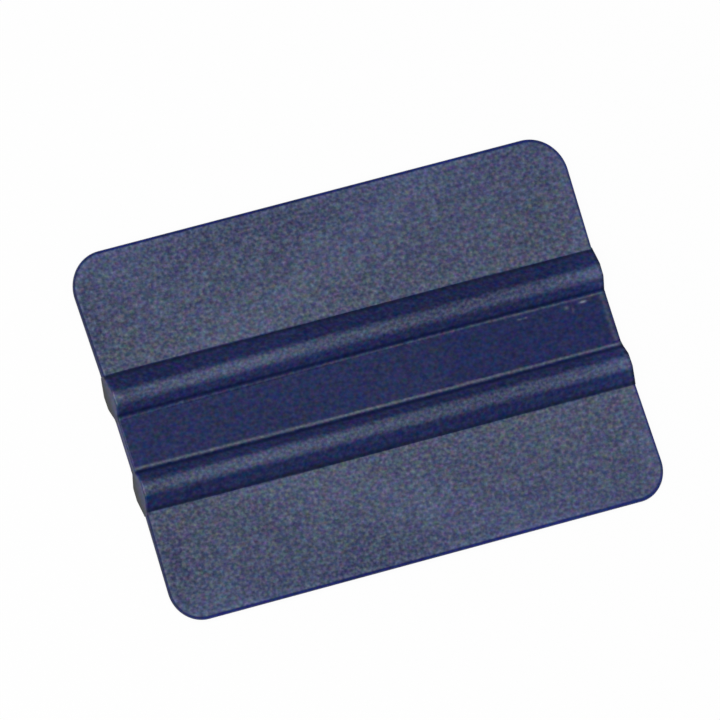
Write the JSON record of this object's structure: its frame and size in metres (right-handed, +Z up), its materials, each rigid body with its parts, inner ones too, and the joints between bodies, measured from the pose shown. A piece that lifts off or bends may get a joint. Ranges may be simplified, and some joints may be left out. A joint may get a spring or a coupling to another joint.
{
  "type": "squeegee applicator",
  "caption": "Flexible moulded plastic card with thin working blades along both long edges and raised grip ribs on each face, for smoothing vinyl film.",
  "frame": {"origin": "centre of the card's outline, on the surface that the lower rib crowns rest on", "axes": "+X along the working edges and ribs, +Y from the front blade to the rear blade, +Z up through the thickness"},
  "size_m": [0.1012, 0.07, 0.0046],
  "materials": {
    "web_plastic": "smooth satin moulded plastic, dark blue",
    "rib_plastic": "moulded plastic, dark blue, smooth sides and spark-textured crowns",
    "blade_plastic": "moulded plastic, dark blue, fine spark-eroded texture and a smooth rim"
  },
  "bodies": {
    "grip": {"centre_web": "web_plastic", "rear_grip_rib": "rib_plastic", "front_grip_rib": "rib_plastic"},
    "rear_blade": {"rear_blade": "blade_plastic"},
    "front_blade": {"front_blade": "blade_plastic"}
  },
  "joints": [
    {"name": "rear_blade_flex", "type": "hinge", "parent": "grip", "child": "rear_blade", "pos_m": [0, 0.0125, 0.0023], "axis": [1, 0, 0], "range_deg": [-12, 12], "stiffness_Nm_per_rad": 4.6},
    {"name": "front_blade_flex", "type": "hinge", "parent": "grip", "child": "front_blade", "pos_m": [0, -0.0139, 0.0023], "axis": [-1, 0, 0], "range_deg": [-12, 12], "stiffness_Nm_per_rad": 4.6}
  ]
}
